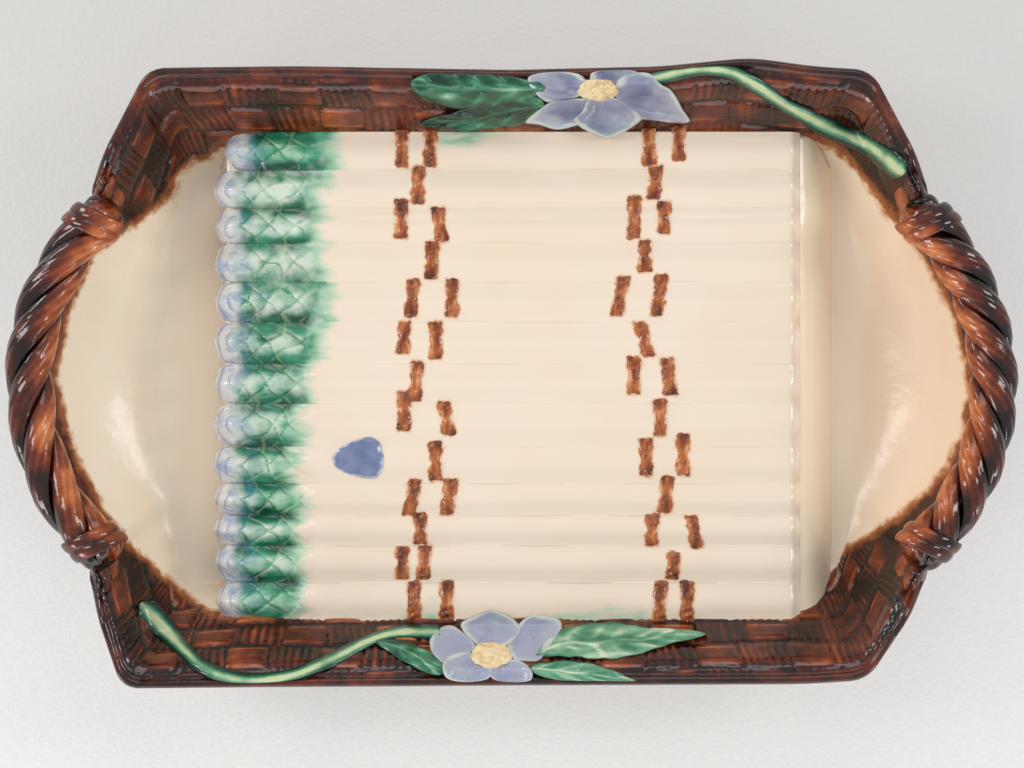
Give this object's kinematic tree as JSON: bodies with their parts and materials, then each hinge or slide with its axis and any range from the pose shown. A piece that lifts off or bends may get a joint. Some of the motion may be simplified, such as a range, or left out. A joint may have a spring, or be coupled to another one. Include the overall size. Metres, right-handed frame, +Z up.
{
  "type": "asparagus plate",
  "caption": "Glazed earthenware asparagus platter shaped as a basket, with a raised bed of moulded stalks, a sauce well and rope handle at each end, and flowers on the edges.",
  "frame": {"origin": "middle of the bounding box in plan, on the table under the foot ring", "axes": "+X along the length to the right rope handle, +Y to the back edge with the long leaves, +Z up"},
  "size_m": [0.3997, 0.2481, 0.0671],
  "materials": {
    "cream_glaze": "glossy",
    "brown_glaze": "glossy",
    "green_glaze": "glossy",
    "pale_green_glaze": "glossy",
    "lilac_glaze": "glossy",
    "yellow_glaze": "glossy",
    "bare_clay": "matte"
  },
  "bodies": {
    "root": {"dish_shell": "cream_glaze", "foot_ring": "bare_clay", "stalk_deck": "cream_glaze", "stalk_01": "cream_glaze", "stalk_02": "cream_glaze", "stalk_03": "cream_glaze", "stalk_04": "cream_glaze", "stalk_05": "cream_glaze", "stalk_06": "cream_glaze", "stalk_07": "cream_glaze", "stalk_08": "cream_glaze", "stalk_09": "cream_glaze", "stalk_10": "cream_glaze", "stalk_11": "cream_glaze", "stalk_12": "cream_glaze", "stalk_13": "cream_glaze", "tip_01": "green_glaze", "tip_02": "green_glaze", "tip_03": "green_glaze", "tip_04": "green_glaze", "tip_05": "green_glaze", "tip_06": "green_glaze", "tip_07": "green_glaze", "tip_08": "green_glaze", "tip_09": "green_glaze", "tip_10": "green_glaze", "tip_11": "green_glaze", "tip_12": "green_glaze", "tip_13": "green_glaze", "left_rope_strand_1": "brown_glaze", "left_rope_strand_2": "brown_glaze", "left_rope_strand_3": "brown_glaze", "right_rope_strand_1": "brown_glaze", "right_rope_strand_2": "brown_glaze", "right_rope_strand_3": "brown_glaze", "left_back_binding": "brown_glaze", "left_front_binding": "brown_glaze", "right_back_binding": "brown_glaze", "right_front_binding": "brown_glaze", "back_lip": "brown_glaze", "front_lip": "brown_glaze", "back_weave": "brown_glaze", "front_weave": "brown_glaze", "left_back_weave": "brown_glaze", "right_back_weave": "brown_glaze", "left_front_weave": "brown_glaze", "right_front_weave": "brown_glaze", "left_ties": "brown_glaze", "right_ties": "brown_glaze", "back_flower_petals": "lilac_glaze", "back_flower_centre": "yellow_glaze", "front_flower_petals": "lilac_glaze", "front_flower_centre": "yellow_glaze", "back_leaves": "green_glaze", "front_leaves": "green_glaze", "back_vine": "pale_green_glaze", "front_vine": "pale_green_glaze", "loose_petal": "lilac_glaze"}
  },
  "joints": []
}
